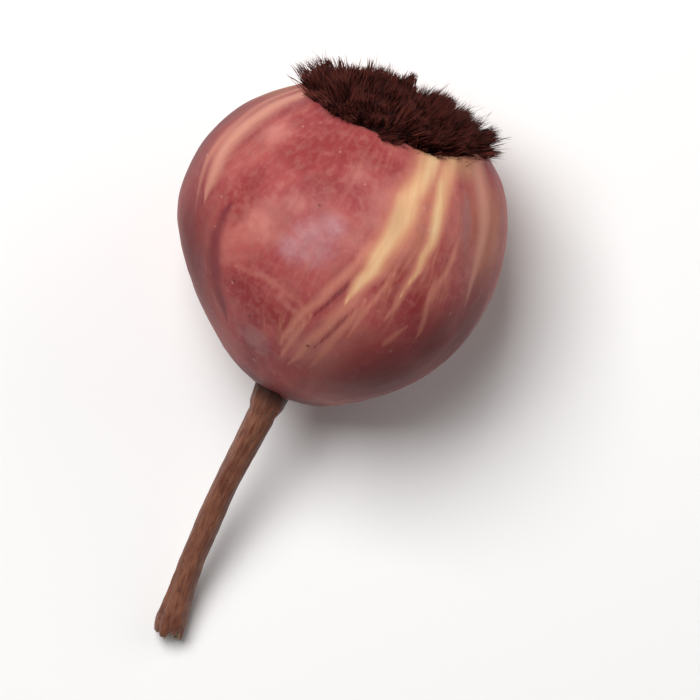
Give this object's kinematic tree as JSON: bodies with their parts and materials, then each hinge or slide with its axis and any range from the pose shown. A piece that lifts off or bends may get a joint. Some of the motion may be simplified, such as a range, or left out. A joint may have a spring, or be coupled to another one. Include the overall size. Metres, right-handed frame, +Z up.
{
  "type": "hawthorn berry",
  "caption": "Round hawthorn berry with a dark tuft of dried bristles at its crown, picked with its own short stalk and lying on its side.",
  "frame": {"origin": "middle of the small flat spot under the berry, on which it rests", "axes": "+Z up; +X from the picked end of the stalk to the crown; +Y to the side that the belly leans to"},
  "size_m": [0.0427, 0.022, 0.0218],
  "materials": {
    "skin": "waxy satin, mottled rose, cream and mauve",
    "bristle": "dry and fibrous, dark maroon",
    "stalk": "smooth brown bark with a slight sheen"
  },
  "bodies": {
    "root": {"berry": "skin", "crown": "bristle", "stalk": "stalk"}
  },
  "joints": []
}
